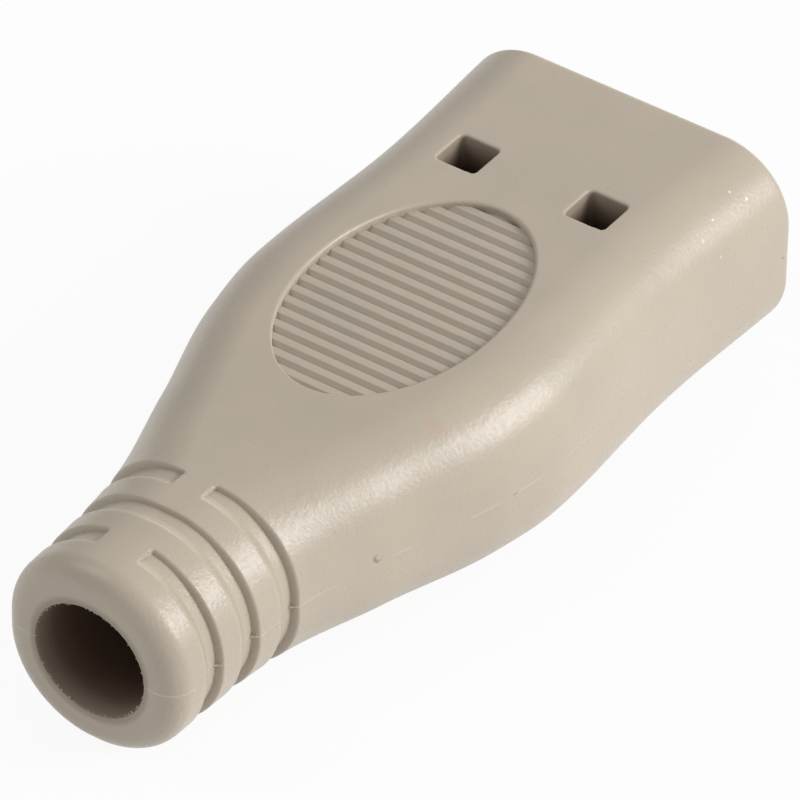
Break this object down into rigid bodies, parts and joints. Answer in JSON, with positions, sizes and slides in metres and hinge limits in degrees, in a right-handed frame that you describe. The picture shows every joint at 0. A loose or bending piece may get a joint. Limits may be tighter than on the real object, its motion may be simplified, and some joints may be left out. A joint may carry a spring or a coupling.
{
  "type": "usb-a plug hood",
  "caption": "Moulded cover for a flat cable plug: rounded body with a ribbed oval panel and latch windows, flaring down to a round grooved cable neck.",
  "frame": {"origin": "centre of the bounding box's footprint, on the plane of the flat underside", "axes": "+X along the hood from the cable end to the open plug end, +Y across it, +Z from the flat underside up through the ribbed oval's face"},
  "size_m": [0.0362, 0.0156, 0.0089],
  "materials": {
    "hood": "satin warm grey-beige moulding with a fine orange-peel skin"
  },
  "bodies": {
    "root": {"hood": "hood"}
  },
  "joints": []
}
